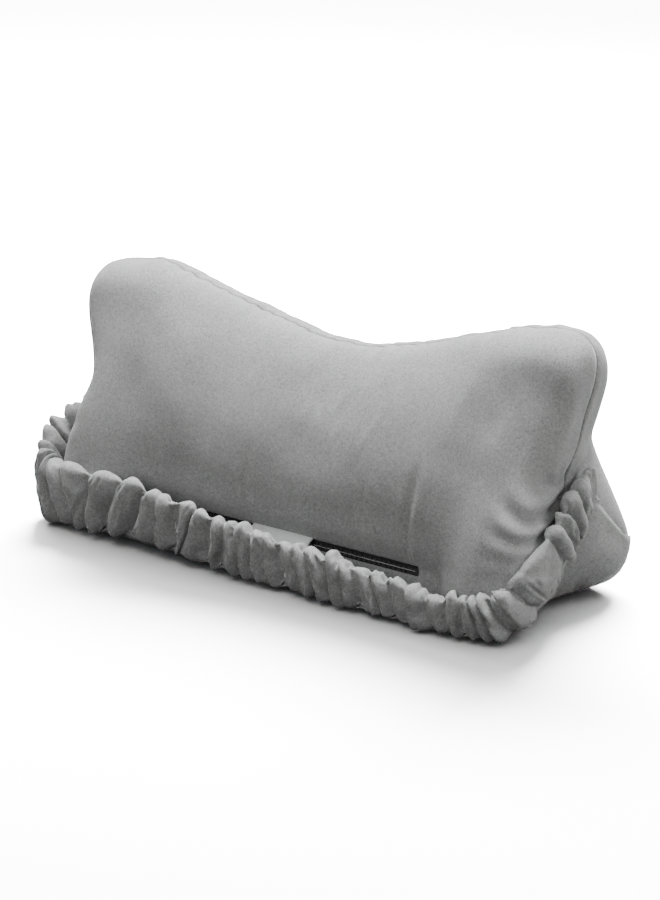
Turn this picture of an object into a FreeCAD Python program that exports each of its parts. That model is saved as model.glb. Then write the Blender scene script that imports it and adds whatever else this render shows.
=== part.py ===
"""Headrest pillow that slips over the top of an office chair's back.

A three-lobed stuffed pillow rests on its underside. Its front face is the one that leans on the chair,
and it has a zip along its lower edge. A fabric hood runs under the pillow from the rear seam to a gathered,
elasticated band at the front. The chair's back goes in between the band and the front face.

Frame: +X along the pillow, +Y from the band to the rear seam, +Z up, origin at the centre of the footprint.
"""
import FreeCAD
import Part
import Sketcher
import math
import os

Vector = FreeCAD.Vector
Placement = FreeCAD.Placement
Rotation = FreeCAD.Rotation

# Driving dimensions, in millimetres and degrees.
SIZES = {
    # hood footprint and walls
    "hood_half": 212.0,
    "hood_front": 80.0,
    "hood_rear": 80.0,
    "hood_wall": 2.0,
    "front_corner": 45.0,
    "rear_corner": 22.0,
    # the band's path: it lies in a plane that climbs towards the rear
    "band_height": 40.0,
    "band_thick": 6.0,
    "band_end": 48.0,
    "band_climb": 0.47,
    "rear_seam": 23.0,
    # channel and elastic inside the band
    "channel_skin": 1.5,
    "channel_drop": 4.0,
    "channel_height": 14.0,
    "channel_end": 44.0,
    "elastic_gap": 1.0,
    # pillow layers, measured inwards from the cover's outer face
    "cover_thick": 2.0,
    "liner_thick": 1.0,
    # pillow sections: how far each stands from the middle
    "belt_at": 115.0,
    "swell_at": 154.0,
    "shoulder_at": 190.0,
    "tip_at": 206.0,
    # where the three cover panels meet
    "hub_y": 8.0,
    "hub_z": 62.0,
    "ridge_seam_y": 31.0,
    "ridge_seam_z": 212.0,
    "rear_seam_y": 95.0,
    # zip
    "zip_half": 108.0,
    "zip_rise": 6.0,
    "slot_width": 11.0,
    "tape_gap": 1.0,
    "tape_thick": 0.6,
    "coil_width": 1.8,
    "coil_height": 1.3,
    "coil_pitch": 4.0,
    "coil_groove": 1.2,
    "stop_length": 3.0,
    # slider and pull
    "slider_length": 9.0,
    "slider_width": 7.2,
    "plate_thick": 0.9,
    "plate_over": 1.5,
    "plate_under": 0.8,
    "slider_park": -98.0,
    "pull_reach": 16.0,
    "pull_width": 5.0,
    "pull_thick": 1.0,
    "pin_radius": 0.6,
    # care label
    "label_left": -32.0,
    "label_width": 50.0,
    "label_thick": 0.5,
}

# Each pillow section is the outline round three lobes: centre y, centre z and radius.
LOBES = {
    "mid": {"top": (14.0, 138.0, 22.5), "front": (-32.0, 17.0, 13.5), "rear": (50.0, 31.0, 27.0)},
    "belt": {"top": (22.0, 156.0, 25.0), "front": (-32.0, 17.0, 13.5), "rear": (50.0, 31.0, 27.0)},
    "swell": {"top": (21.0, 163.0, 30.0), "front": (-43.0, 31.0, 27.0), "rear": (50.0, 31.0, 27.0)},
    "shoulder": {"top": (21.0, 163.0, 28.0), "front": (-34.0, 32.0, 23.0), "rear": (49.0, 31.0, 26.0)},
    "tip": {"top": (21.0, 161.0, 18.0), "front": (-16.0, 38.0, 13.0), "rear": (46.0, 32.0, 16.0)},
}
# Sizes that follow from those above.
SIZES.update({
    "filling_inset": SIZES["cover_thick"] + SIZES["liner_thick"],
    "channel_inner": SIZES["band_thick"] - SIZES["channel_skin"],
    "channel_top": SIZES["band_height"] - SIZES["channel_drop"],
    "channel_low": SIZES["band_height"] - SIZES["channel_drop"] - SIZES["channel_height"],
    "elastic_outer": SIZES["channel_skin"] + SIZES["elastic_gap"],
    "elastic_inner": SIZES["band_thick"] - SIZES["channel_skin"] - SIZES["elastic_gap"],
    "elastic_end": SIZES["channel_end"] - SIZES["elastic_gap"],
})
SIZES["elastic_top"] = SIZES["channel_top"] - SIZES["elastic_gap"]
SIZES["elastic_low"] = SIZES["channel_low"] + SIZES["elastic_gap"]
LOBE_NAMES = ("top", "front", "rear")
BAND_FOOT = 2.0  # the band stands this far above the surface, on the hood's fabric
FAR = 260.0  # beyond every face, for cutting sketches
SIDES = (-1, 1)


# ---------------------------------------------------------------- document and sheet

def make_sheet(doc):
    """Puts every driving dimension in one spreadsheet, each with its alias."""
    sheet = doc.addObject("Spreadsheet::Sheet", "Sizes")
    row = 1
    cells = dict(SIZES)
    for station, lobes in LOBES.items():
        for lobe, values in lobes.items():
            for axis, value in zip(("yy", "zz", "rr"), values):
                cells[f"{station}_{lobe}_{axis}"] = value
    for alias, value in cells.items():
        sheet.set(f"A{row}", alias)
        sheet.set(f"B{row}", str(value))
        sheet.setAlias(f"B{row}", alias)
        row += 1
    doc.recompute()
    return cells


doc = FreeCAD.newDocument("headrest_pillow")
CELLS = make_sheet(doc)


def value(expression):
    """The number that an expression over the sheet's aliases gives."""
    return float(eval_terms(expression))


def eval_terms(expression):
    """Adds up an expression's terms: each is a number or alias, or a product of those."""
    total = 0.0
    for term in expression.replace("- ", "+ -").split("+ "):
        term = term.strip()
        if not term:
            continue
        sign = -1.0 if term.startswith("-") else 1.0
        product = sign
        for factor in term.lstrip("-").split("*"):
            factor = factor.strip()
            product *= CELLS[factor] if factor in CELLS else float(factor)
        total += product
    return total


def bound(expression):
    """The same expression written for FreeCAD, with the sheet's name before each alias."""
    words = expression.replace("*", " * ").split()
    named = []
    for word in words:
        bare = word.lstrip("-")
        sign = "-" if word.startswith("-") and bare else ""
        named.append(f"{sign}Sizes.{bare}" if bare in CELLS else word)
    return " ".join(named)


# ---------------------------------------------------------------- sketch helpers

def origin_plane(body, role):
    return next(f for f in body.Origin.OriginFeatures if f.Role == role)


def new_sketch(body, name, role, offset="0"):
    """A sketch on one of its body's origin planes, moved along the plane's normal by an expression."""
    sketch = body.newObject("Sketcher::SketchObject", name)
    sketch.AttachmentSupport = [(origin_plane(body, role), "")]
    sketch.MapMode = "FlatFace"
    sketch.setExpression("AttachmentOffset.Base.z", bound(offset))
    return sketch


def pin_point(sketch, geometry, position, x, y, name):
    """Fixes a point of a sketch at two expressions."""
    for kind, expression in (("DistanceX", x), ("DistanceY", y)):
        index = sketch.addConstraint(
            Sketcher.Constraint(kind, -1, 1, geometry, position, value(expression)))
        sketch.renameConstraint(index, f"{name}_{kind[-1].lower()}")
        sketch.setExpression(f"Constraints[{index}]", bound(expression))


def polygon(sketch, corners):
    """A closed polygon whose corners are pairs of expressions."""
    points = [Vector(value(x), value(y), 0) for x, y in corners]
    count = len(points)
    for i in range(count):
        sketch.addGeometry(Part.LineSegment(points[i], points[(i + 1) % count]))
    for i in range(count):
        sketch.addConstraint(Sketcher.Constraint("Coincident", i, 2, (i + 1) % count, 1))
    for i, (x, y) in enumerate(corners):
        pin_point(sketch, i, 1, x, y, f"corner{i}")


def rectangle(sketch, x0, x1, y0, y1):
    polygon(sketch, [(x0, y0), (x1, y0), (x1, y1), (x0, y1)])


def common_tangent(here, there):
    """Unit normal of the outer tangent from one circle (y, z, r) to the next, going anticlockwise."""
    dy, dz = there[0] - here[0], there[1] - here[1]
    length = math.hypot(dy, dz)
    along = (here[2] - there[2]) / length
    across = math.sqrt(1 - along * along)
    return (along * dy + across * dz) / length, (along * dz - across * dy) / length


def lobed_section(body, name, station, side, inset):
    """The outline round a station's three lobes: three arcs joined by three tangent lines."""
    move = "0"
    if station != "mid":
        move = f"{station}_at" if side > 0 else f"-{station}_at"
    if station == "tip":
        move += f" - {inset}" if side > 0 else f" + {inset}"
    sketch = new_sketch(body, name, "YZ_Plane", move)
    circles = []
    for lobe in LOBE_NAMES:
        y, z, r = LOBES[station][lobe]
        circles.append((y, z, r - value(inset)))
    normals = [common_tangent(circles[i], circles[(i + 1) % 3]) for i in range(3)]
    for i, (y, z, r) in enumerate(circles):
        start = math.atan2(normals[i - 1][1], normals[i - 1][0])
        end = math.atan2(normals[i][1], normals[i][0])
        if end < start:
            end += 2 * math.pi
        circle = Part.Circle(Vector(y, z, 0), Vector(0, 0, 1), r)
        sketch.addGeometry(Part.ArcOfCircle(circle, start, end))
    for i in range(3):
        here, there, n = circles[i], circles[(i + 1) % 3], normals[i]
        sketch.addGeometry(Part.LineSegment(
            Vector(here[0] + here[2] * n[0], here[1] + here[2] * n[1], 0),
            Vector(there[0] + there[2] * n[0], there[1] + there[2] * n[1], 0)))
    for i in range(3):
        sketch.addConstraint(Sketcher.Constraint("Tangent", i, 2, 3 + i, 1))
        sketch.addConstraint(Sketcher.Constraint("Tangent", 3 + i, 2, (i + 1) % 3, 1))
    for i, lobe in enumerate(LOBE_NAMES):
        stem = f"{station}_{lobe}"
        pin_point(sketch, i, 3, f"{stem}_yy", f"{stem}_zz", lobe)
        index = sketch.addConstraint(Sketcher.Constraint("Radius", i, circles[i][2]))
        sketch.setExpression(f"Constraints[{index}]", bound(f"{stem}_rr - {inset}"))
    return sketch


def pillow_solid(name, inset):
    """The pillow's whole volume, with its surface moved inwards by an expression."""
    body = doc.addObject("PartDesign::Body", name)
    order = [("tip", -1), ("shoulder", -1), ("swell", -1), ("belt", -1), ("mid", 1),
             ("belt", 1), ("swell", 1), ("shoulder", 1), ("tip", 1)]
    sketches = [
        lobed_section(body, f"{name}_{station}_{i}", station, side, inset)
        for i, (station, side) in enumerate(order)]
    loft = body.newObject("PartDesign::AdditiveLoft", f"{name}_loft")
    loft.Profile = sketches[0]
    loft.Sections = sketches[1:]
    loft.Ruled = True
    doc.recompute()
    return body


# ---------------------------------------------------------------- feature helpers

def pad(body, sketch, length, both_ways=False):
    feature = body.newObject("PartDesign::Pad", f"{sketch.Name}_pad")
    feature.Profile = sketch
    feature.setExpression("Length", bound(length))
    if both_ways:
        feature.Midplane = True
    doc.recompute()
    return feature


def pocket_through(body, sketch):
    """Cuts a sketch right through its body, both ways from the sketch."""
    before = body.Shape.Volume
    feature = body.newObject("PartDesign::Pocket", f"{sketch.Name}_cut")
    feature.Profile = sketch
    feature.Length = 2 * FAR
    feature.Midplane = True
    doc.recompute()
    if body.Shape.Volume >= before:
        raise RuntimeError(f"{feature.Name} cut nothing")
    return feature


def round_upright_edges(body, corners, radius):
    """Fillets the upright edges that stand at the given plan positions."""
    base = body.Tip
    names = []
    for i, edge in enumerate(base.Shape.Edges):
        ends = [v.Point for v in edge.Vertexes]
        if len(ends) != 2 or abs(ends[0].z - ends[1].z) < 1:
            continue
        for x, y in corners:
            if all(math.hypot(p.x - x, p.y - y) < 1e-3 for p in ends):
                names.append(f"Edge{i + 1}")
    feature = body.newObject("PartDesign::Fillet", f"{base.Name}_round")
    feature.Base = (base, names)
    feature.setExpression("Radius", bound(radius))
    doc.recompute()
    return feature


def box(name, length, width, height):
    """A Part::Box with its three sizes bound to the sheet."""
    made = doc.addObject("Part::Box", name)
    for side, expression in (("Length", length), ("Width", width), ("Height", height)):
        made.setExpression(side, bound(expression))
    return made


def boolean(kind, name, base, tool):
    made = doc.addObject(f"Part::{kind}", name)
    made.Base = base
    made.Tool = tool
    doc.recompute()
    return made


def fuse(name, shapes):
    made = doc.addObject("Part::MultiFuse", name)
    made.Shapes = shapes
    doc.recompute()
    return made


# ---------------------------------------------------------------- pillow

def flank_frame():
    """Where the zip lies: a point on the front face, the way up that face and the way out of it."""
    top, front = LOBES["mid"]["top"], LOBES["mid"]["front"]
    ny, nz = common_tangent(top, front)
    rise = SIZES["zip_rise"]
    up = Vector(0, -nz, ny) if ny > 0 else Vector(0, nz, -ny)
    foot = Vector(0, front[0] + front[2] * ny, front[1] + front[2] * nz)
    return foot + up * rise, up, Vector(0, ny, nz)


ZIP_POINT, ZIP_UP, ZIP_OUT = flank_frame()
ZIP_TURN = Rotation(Vector(1, 0, 0), math.degrees(math.atan2(ZIP_UP.z, ZIP_UP.y)))


def on_zip(x, up, out):
    """A placement at a point given along the zip, up the face and out of the face."""
    return Placement(ZIP_POINT + ZIP_UP * up + ZIP_OUT * out + Vector(x, 0, 0), ZIP_TURN)


def wedge(name, first, second, third):
    """A prism along X whose three corners are in the YZ plane."""
    body = doc.addObject("PartDesign::Body", name)
    sketch = new_sketch(body, f"{name}_outline", "YZ_Plane")
    polygon(sketch, [("hub_y", "hub_z"), first, second, third])
    pad(body, sketch, "2 * hood_half + 20", both_ways=True)
    return body


def cover_panels():
    """The cover is a skin with a slot for the zip, cut into three panels along its seams."""
    outer = pillow_solid("pillow_outside", "0")
    inner = pillow_solid("pillow_inside", "cover_thick")
    skin = boolean("Cut", "cover_skin", outer, inner)
    slot = box("zip_slot", "2 * zip_half", "slot_width", "2 * cover_thick + 2")
    slot.Placement = on_zip(-SIZES["zip_half"], -SIZES["slot_width"] / 2, -SIZES["cover_thick"] - 1)
    slotted = boolean("Cut", "cover_slotted", skin, slot)
    reach = 4.0
    front = (ZIP_POINT.y - SIZES["hub_y"]) * reach + SIZES["hub_y"]
    below = (ZIP_POINT.z - SIZES["hub_z"]) * reach + SIZES["hub_z"]
    ridge = ("ridge_seam_y", "ridge_seam_z")
    zip_line = (str(round(front, 4)), str(round(below, 4)))
    rear = ("rear_seam_y", "rear_seam")
    high_front = (str(-FAR), "ridge_seam_z")
    high_rear = (str(FAR), "ridge_seam_z")
    low_rear = ("rear_seam_y", str(-FAR))
    parts = []
    for label, corners in (
            ("chair_side_panel", (ridge, high_front, zip_line)),
            ("head_side_panel", (rear, high_rear, ridge)),
            ("base_panel", (zip_line, low_rear, rear))):
        prism = wedge(f"{label}_sector", *corners)
        panel = boolean("Common", label, slotted, prism)
        parts.append(panel)
    return parts


def filling():
    """The stuffed core and the plain bag that holds it."""
    bag_outside = pillow_solid("bag_outside", "cover_thick")
    bag_inside = pillow_solid("bag_inside", "filling_inset")
    bag = boolean("Cut", "inner_bag", bag_outside, bag_inside)
    core = pillow_solid("fibre_core", "filling_inset")
    return [bag, core]


# ---------------------------------------------------------------- hood

def climb(y, above="0"):
    """Height of the band's lower edge at a place along Y, plus a rise, as an expression."""
    return f"{BAND_FOOT} + band_climb*{y} + band_climb*hood_front + {above}"


def hood_block(body, name, inset, height, rear, floor="0"):
    """Pads the hood's plan outline, moved inwards by an expression, and rounds its front corners."""
    sketch = new_sketch(body, name, "XY_Plane", floor)
    rectangle(sketch, f"-hood_half + {inset}", f"hood_half - {inset}", f"-hood_front + {inset}", rear)
    pad(body, sketch, height)
    x = SIZES["hood_half"] - value(inset)
    y = -SIZES["hood_front"] + value(inset)
    round_upright_edges(body, [(-x, y), (x, y)], f"front_corner - {inset}")


def band_solid(name, outer, inner, rear, top, low):
    """A U of upright fabric between two planes that climb towards the rear."""
    body = doc.addObject("PartDesign::Body", f"{name}_outside")
    hood_block(body, f"{name}_plan", outer, "130", rear)
    near, far = str(-FAR), str(FAR)
    above = new_sketch(body, f"{name}_above", "YZ_Plane")
    polygon(above, [(near, climb(near, top)), (far, climb(far, top)), (far, "500"), (near, "500")])
    pocket_through(body, above)
    if low:
        under = new_sketch(body, f"{name}_below", "YZ_Plane")
        polygon(under, [(near, "-500"), (far, "-500"), (far, climb(far, low)), (near, climb(near, low))])
        pocket_through(body, under)
    hollow = doc.addObject("PartDesign::Body", f"{name}_inside")
    hood_block(hollow, f"{name}_inside_plan", inner, "140", far, "-5")
    return boolean("Cut", name, body, hollow)


def hood_parts():
    """The hood's fabric, the gathered band on its free edge and the elastic inside the band."""
    panel = doc.addObject("PartDesign::Body", "hood_shell")
    hood_block(panel, "hood_plan", "0", "70", "hood_rear")
    half, back = SIZES["hood_half"], SIZES["hood_rear"]
    round_upright_edges(panel, [(-half, back), (half, back)], "rear_corner")
    profile = new_sketch(panel, "hood_edge", "YZ_Plane")
    polygon(profile, [
        (str(-FAR), climb(str(-FAR))), ("band_end", climb("band_end")), ("hood_rear", "rear_seam"),
        (str(FAR), "rear_seam"), (str(FAR), "500"), (str(-FAR), "500")])
    pocket_through(panel, profile)
    hollow = doc.addObject("PartDesign::Body", "hood_hollow")
    hood_block(hollow, "hood_hollow_plan", "hood_wall", "90", "hood_rear - hood_wall", "hood_wall")
    inside = half - SIZES["hood_wall"]
    round_upright_edges(
        hollow, [(-inside, back - SIZES["hood_wall"]), (inside, back - SIZES["hood_wall"])],
        "rear_corner - hood_wall")
    shell = boolean("Cut", "hood_panel", panel, hollow)
    band = band_solid("band_block", "0", "band_thick", "band_end", "band_height", "0")
    channel = band_solid(
        "band_channel", "channel_skin", "channel_inner", "channel_end", "channel_top", "channel_low")
    casing = boolean("Cut", "gathered_band", band, channel)
    elastic = band_solid(
        "elastic_strip", "elastic_outer", "elastic_inner", "elastic_end", "elastic_top", "elastic_low")
    return [shell, casing, elastic]


# ---------------------------------------------------------------- zip

def zip_side(side):
    """One tape and its row of coil, on one side of the zip's centre line."""
    word = "upper" if side > 0 else "lower"
    width = (SIZES["slot_width"] - SIZES["tape_gap"]) / 2
    inner = SIZES["tape_gap"] / 2
    tape = box(f"zip_tape_{word}", "2 * zip_half", "0.5 * slot_width - 0.5 * tape_gap", "tape_thick")
    low = inner if side > 0 else -inner - width
    tape.Placement = on_zip(-SIZES["zip_half"], low, -SIZES["tape_thick"])
    coil = doc.addObject("PartDesign::Body", f"zip_coil_{word}")
    section = new_sketch(coil, f"coil_{word}_section", "YZ_Plane")
    rectangle(section, "0", "coil_width", "0", "coil_height")
    pad(coil, section, "2 * zip_half - 2 * stop_length")
    groove = new_sketch(coil, f"coil_{word}_groove", "XZ_Plane")
    rectangle(groove, "2", "2 + coil_groove", "0.5", "coil_height + 1")
    cut = coil.newObject("PartDesign::Pocket", f"coil_{word}_groove_cut")
    cut.Profile = groove
    cut.Length = 20.0
    cut.Midplane = True
    doc.recompute()
    run = 2 * SIZES["zip_half"] - 2 * SIZES["stop_length"] - 2 * SIZES["coil_pitch"]
    count = int(run / SIZES["coil_pitch"])
    pattern = coil.newObject("PartDesign::LinearPattern", f"coil_{word}_grooves")
    pattern.Originals = [cut]
    pattern.Direction = (section, ["N_Axis"])
    pattern.Length = count * SIZES["coil_pitch"]
    pattern.Occurrences = count + 1
    coil.Tip = pattern
    doc.recompute()
    low = inner if side > 0 else -inner - SIZES["coil_width"]
    coil.Placement = on_zip(-SIZES["zip_half"] + SIZES["stop_length"], low, 0)
    return [tape, coil]


def zip_stops():
    """The moulded stops at the two ends of the coil, as one node of two solids."""
    stops = []
    for name, x in (("first", -SIZES["zip_half"]), ("last", SIZES["zip_half"] - SIZES["stop_length"])):
        stop = box(f"zip_stop_{name}", "stop_length", "2 * coil_width + tape_gap", "coil_height + 0.4")
        stop.Placement = on_zip(x, -SIZES["coil_width"] - SIZES["tape_gap"] / 2, 0)
        stops.append(stop)
    doc.recompute()
    both = doc.addObject("Part::Compound", "zip_stops")
    both.Links = stops
    return both


def zip_slider():
    """Two plates joined by a thin web that runs between the coils, with a bridge for the pull."""
    length, width = SIZES["slider_length"], SIZES["slider_width"]
    over, under, plate = SIZES["plate_over"], SIZES["plate_under"], SIZES["plate_thick"]
    flange, web_thick, web_length = 1.0, 0.6, 4.0
    post, gap, bar, bridge = 1.2, 2.0, 0.8, 1.6
    reach = 3.6
    blocks = []

    def block(name, x0, x1, v0, v1, w0, w1):
        piece = doc.addObject("Part::Box", f"slider_{name}")
        piece.Length, piece.Width, piece.Height = x1 - x0, v1 - v0, w1 - w0
        piece.Placement = Placement(Vector(x0, v0, w0), Rotation())
        blocks.append(piece)

    block("top", -length / 2, length / 2, -width / 2, width / 2, over, over + plate)
    block("bottom", -length / 2, length / 2, -width / 2, width / 2, -under - plate + 0.1, -under)
    block("web", -web_length / 2, web_length / 2, -web_thick / 2, web_thick / 2, -under, over)
    for side in SIDES:
        edge = sorted((side * (width / 2 - flange), side * width / 2))
        block(f"flange{side + 1}", -length / 2, length / 2, edge[0], edge[1], 0.2, over)
        foot = sorted((side * (reach - post), side * reach))
        block(f"post{side + 1}", foot[0], foot[1], -bridge / 2, bridge / 2, over + plate, over + plate + gap)
    block("bar", -reach, reach, -bridge / 2, bridge / 2, over + plate + gap, over + plate + gap + bar)
    slider = fuse("zip_slider", blocks)
    slider.Placement = on_zip(SIZES["slider_park"], 0, 0)
    return slider


def pull_axis_out():
    """How far out of the face the pull's pin lies: in the middle of the bridge's gap."""
    return SIZES["plate_over"] + SIZES["plate_thick"] + 1.0


def zip_pull():
    """A flat tab on two arms, whose pin passes under the slider's bridge."""
    radius, reach = SIZES["pin_radius"], SIZES["pull_reach"]
    half_width, half_thick = SIZES["pull_width"] / 2, SIZES["pull_thick"] / 2
    arm_inner = 1.2
    arm_outer = 2.2
    plate_from = 5.0
    pin = doc.addObject("Part::Cylinder", "pull_pin")
    pin.setExpression("Radius", bound("pin_radius"))
    pin.Height = 2 * arm_outer
    pin.Placement = Placement(Vector(0, arm_outer, 0), Rotation(Vector(1, 0, 0), 90))
    blocks = [pin]
    for side in SIDES:
        arm = doc.addObject("Part::Box", f"pull_arm{side + 1}")
        arm.Length = plate_from + radius + 0.5
        arm.Width = arm_outer - arm_inner
        arm.setExpression("Height", bound("pull_thick"))
        low = arm_inner if side > 0 else -arm_outer
        arm.Placement = Placement(Vector(-radius, low, -half_thick), Rotation())
        blocks.append(arm)
    tab = doc.addObject("Part::Box", "pull_tab")
    tab.Length = reach - plate_from
    tab.setExpression("Width", bound("pull_width"))
    tab.setExpression("Height", bound("pull_thick"))
    tab.Placement = Placement(Vector(plate_from, -half_width, -half_thick), Rotation())
    doc.recompute()
    rounded = doc.addObject("Part::Fillet", "pull_tab_round")
    rounded.Base = tab
    tip = [(i + 1, 2.0, 2.0) for i, e in enumerate(tab.Shape.Edges)
           if abs(e.tangentAt(e.FirstParameter).z) > 0.9 and e.CenterOfMass.x > reach - 0.1]
    rounded.Edges = tip
    blocks.append(rounded)
    pull = fuse("zip_pull", blocks)
    pull.Placement = on_zip(SIZES["slider_park"], 0, pull_axis_out())
    return pull


def care_label():
    """A folded strip that leaves the zip's upper seam and hangs in front of the zip."""
    body = doc.addObject("PartDesign::Body", "care_label")
    sketch = new_sketch(body, "label_profile", "YZ_Plane")
    polygon(sketch, [
        ("0.5 * slot_width + 0.5", "0"), ("0.5 * slot_width - 1", "6 + label_thick"),
        ("-13", "7.5 + label_thick"), ("-13", "7.5"),
        ("0.5 * slot_width - 1.5", "6"), ("0.5 * slot_width", "0")])
    pad(body, sketch, "label_width")
    body.Placement = on_zip(SIZES["label_left"], 0, 0)
    return body


# ---------------------------------------------------------------- build and write

def check(objects):
    """Stops the build if any object failed, or a sub-part's shape isn't sound."""
    for item in doc.Objects:
        if "Invalid" in item.State or "Error" in item.State:
            raise RuntimeError(f"{item.Name} failed: {item.State}")
    for item in objects:
        shape = item.Shape
        if shape.isNull() or not shape.isValid() or not shape.Solids:
            raise RuntimeError(f"{item.Label} is not a sound solid")


def main():
    parts = cover_panels() + filling() + hood_parts()
    for side in SIDES:
        parts += zip_side(side)
    parts += [zip_stops(), zip_slider(), zip_pull(), care_label()]
    doc.recompute()
    check(parts)
    os.makedirs("parts", exist_ok=True)
    for item in parts:
        shape = item.Shape
        shape.exportStep(f"parts/{item.Label}.step")
        span = shape.BoundBox
        print(f"{item.Label:18s} solids {len(shape.Solids):3d}  volume {shape.Volume / 1000:9.2f} cm3  "
              f"x {span.XMin:.1f}..{span.XMax:.1f}  y {span.YMin:.1f}..{span.YMax:.1f}  "
              f"z {span.ZMin:.1f}..{span.ZMax:.1f}")
    print(f"zip point {ZIP_POINT}, up {ZIP_UP}, out {ZIP_OUT}")


main()
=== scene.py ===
"""Headrest pillow: stuffed cover with a zip, and a hood with a gathered elastic band.

Shapes are worked out in millimetres, in the CAD model's frame, and made into meshes in metres.
"""

import math

import bpy
import numpy as np
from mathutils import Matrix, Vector
from mathutils.bvhtree import BVHTree


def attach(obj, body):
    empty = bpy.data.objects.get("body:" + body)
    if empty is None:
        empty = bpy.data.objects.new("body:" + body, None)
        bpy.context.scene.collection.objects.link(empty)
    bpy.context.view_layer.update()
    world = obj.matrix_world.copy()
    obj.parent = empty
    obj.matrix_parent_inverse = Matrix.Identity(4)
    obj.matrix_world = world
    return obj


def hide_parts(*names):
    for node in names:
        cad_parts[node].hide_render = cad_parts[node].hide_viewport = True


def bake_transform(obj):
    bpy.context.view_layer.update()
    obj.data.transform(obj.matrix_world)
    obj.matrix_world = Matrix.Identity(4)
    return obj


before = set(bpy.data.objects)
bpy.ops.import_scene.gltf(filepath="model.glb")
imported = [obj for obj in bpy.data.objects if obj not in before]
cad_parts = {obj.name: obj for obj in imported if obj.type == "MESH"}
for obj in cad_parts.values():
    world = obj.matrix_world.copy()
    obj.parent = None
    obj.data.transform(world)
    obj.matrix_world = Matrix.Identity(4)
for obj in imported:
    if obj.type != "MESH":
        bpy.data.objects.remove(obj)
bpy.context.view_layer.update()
MM = 0.001

# ---------------------------------------------------------------- shape tables, millimetres

# Lobe circles along the pillow: place along X, then centre y, centre z and radius.
LOBES = {
    "top": [(-190, 17, 153, 29), (-160, 19, 157.5, 30), (-125, 20.5, 154.5, 26.5), (-90, 20, 150, 24.5),
            (-45, 17, 142.5, 23), (0, 14, 138, 22.5), (25, 14, 138, 22.5), (60, 17, 143, 23),
            (90, 20, 151, 24.5), (115, 22, 157, 26.5), (155, 23, 163.5, 30), (190, 24, 169, 30)],
    "front": [(-190, -36, 31, 25), (-165, -41, 31, 26), (-125, -36.5, 21, 18), (-85, -32, 17, 13.5),
              (85, -32, 17, 13.5), (125, -36.5, 21, 18), (160, -41.5, 30, 26), (190, -36, 31, 25)],
    "rear": [(-190, 48, 31.5, 26), (-150, 50, 31, 27), (-90, 50, 30.5, 26.5), (90, 50, 30.5, 26.5),
             (150, 50, 31, 27), (190, 49, 32, 27)],
}
LOBE_ORDER = ("top", "front", "rear")
CAP_FROM = 168.0  # the end caps start here
# How far beyond that each lobe, the flanks between lobes and the middle of each cap reach, at the left
# end (-1) and the right end (1).
CAP_REACH = {-1: {"top": 53.0, "front": 34.0, "rear": 47.0},
             1: {"top": 43.0, "front": 31.0, "rear": 53.0}}
CAP_FLANK = {-1: 15.0, 1: 21.0}
CAP_MIDDLE = {-1: 12.0, 1: 18.0}
CAP_POWER = 3.8  # 2 is a round cap, more is a flatter one
HUB = (10.0, 80.0)  # y and z of the middle of each section
PANEL_HOLD = 0.36  # how long each panel's curve keeps the direction it leaves a lobe in

# The gathered casing's outer face, from its right end round the front to its left end:
# x, y and z of its middle line, and its width.
CASING = [(198, 38, 86, 32), (204, 20, 79, 35), (207, -4, 68, 38), (207, -26, 53, 38), (203, -46, 38, 37),
          (194, -64, 24, 35), (178, -75, 18, 33), (155, -79, 16.5, 28), (128, -80, 15.5, 27),
          (100, -80, 17.5, 30), (60, -80, 20, 34), (20, -80, 21, 36), (-20, -80, 22.5, 38),
          (-60, -79.5, 26.5, 43), (-97, -78.5, 30.5, 42), (-136, -77, 31, 46), (-165, -75.5, 29, 48),
          (-195, -75, 27, 50), (-213, -68, 28.5, 51), (-221, -49, 37, 49), (-218, -28, 50, 42),
          (-205, -10, 65, 33), (-197, 3, 78, 28), (-192, 11, 88, 24)]
# Creases in the chair-side panel that climb from the zip: place along X, lean, how far up the panel they
# start, depth and width.
ZIP_CREASES = [(101, 4, 0.46, 2.6, 3.2), (93, 1, 0.6, 1.2, 2.2), (109, 6, 0.6, 0.9, 2.4),
               (-31, -3, 0.50, 1.5, 2.4), (57, 2, 0.55, 1.2, 1.8), (64, 3, 0.50, 1.3, 1.9),
               (71, 4, 0.58, 0.9, 1.7), (-118, -6, 0.5, 0.9, 4.0), (-84, -4, 0.7, 0.7, 2.4),
               (20, 1, 0.72, 0.5, 1.8)]
# Puckers where the band presses on the pillow: from x, z, to x, z, then depth and width.
BAND_PUCKERS = [(198, 74, 160, 100, 2.8, 2.6), (196, 65, 156, 78, 2.3, 2.4), (192, 56, 160, 60, 1.8, 2.2),
                (199, 82, 176, 116, 1.7, 2.6), (186, 46, 158, 44, 0.9, 2.4), (120, 26, 132, 48, 1.2, 2.0),
                (112, 26, 119, 52, 1.2, 1.9), (-178, 40, -158, 60, 1.0, 2.6), (-196, 70, -168, 84, 1.2, 2.6)]
CASING_THICK = 14.0
# Distance from its right end, and its thickness there as a share of the usual.
CASING_FULLNESS = [(0, 1.0), (480, 1.0), (520, 1.55), (575, 1.35), (630, 0.8)]
CASING_COLUMNS = 760  # along it
CASING_ROWS = 64  # round it
PATH_SOFTNESS = 11.0  # in columns
CASING_CLEAR = 0.9  # how far it stays off the pillow and the floor
CASING_REACH = 16.0  # how far inside the pillow a point of it is still moved out
LOOP_POWER = 2 / 3  # 1 makes its section an oval, less makes it squarer
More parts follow.
